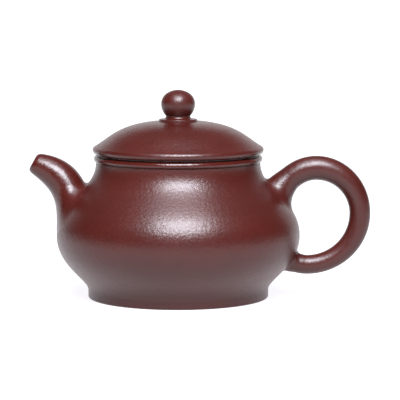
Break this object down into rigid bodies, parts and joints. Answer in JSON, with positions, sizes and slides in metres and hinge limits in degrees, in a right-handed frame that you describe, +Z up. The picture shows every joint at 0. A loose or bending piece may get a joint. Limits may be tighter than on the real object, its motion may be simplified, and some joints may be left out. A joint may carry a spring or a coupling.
{
  "type": "teapot",
  "caption": "Small round unglazed clay teapot with a flared neck, pressed-down domed lid with ball knob, short curved spout and ring handle.",
  "frame": {"origin": "on the pot's turning axis, on the plane that the foot ring stands on", "axes": "+Z up along the pot's turning axis, +X towards the handle, -X towards the spout"},
  "size_m": [0.1331, 0.0948, 0.0809],
  "materials": {
    "pot_clay": "satin",
    "spout_clay": "satin",
    "handle_clay": "satin",
    "lid_clay": "satin",
    "knob_clay": "satin",
    "bare_clay": "matte"
  },
  "bodies": {
    "pot": {"foot_ring": "pot_clay", "base_slab": "pot_clay", "belly_wall": "pot_clay", "shoulder_slab": "pot_clay", "neck_collar": "pot_clay", "mouth_ring": "pot_clay", "spout": "spout_clay", "strainer": "bare_clay", "handle": "handle_clay"},
    "lid_collar": {"lid_flange": "bare_clay"},
    "lid": {"lid_dome": "lid_clay", "lid_seat_ring": "lid_clay", "knob_base": "lid_clay", "knob": "knob_clay"}
  },
  "joints": [
    {"name": "lid_lift", "type": "slide", "parent": "pot", "child": "lid_collar", "axis": [0, 0, 1], "range_m": [0, 0.06]},
    {"name": "lid_turn", "type": "hinge", "parent": "lid_collar", "child": "lid", "pos_m": [0, 0, 0.0555], "axis": [0, 0, 1], "continuous": true}
  ]
}
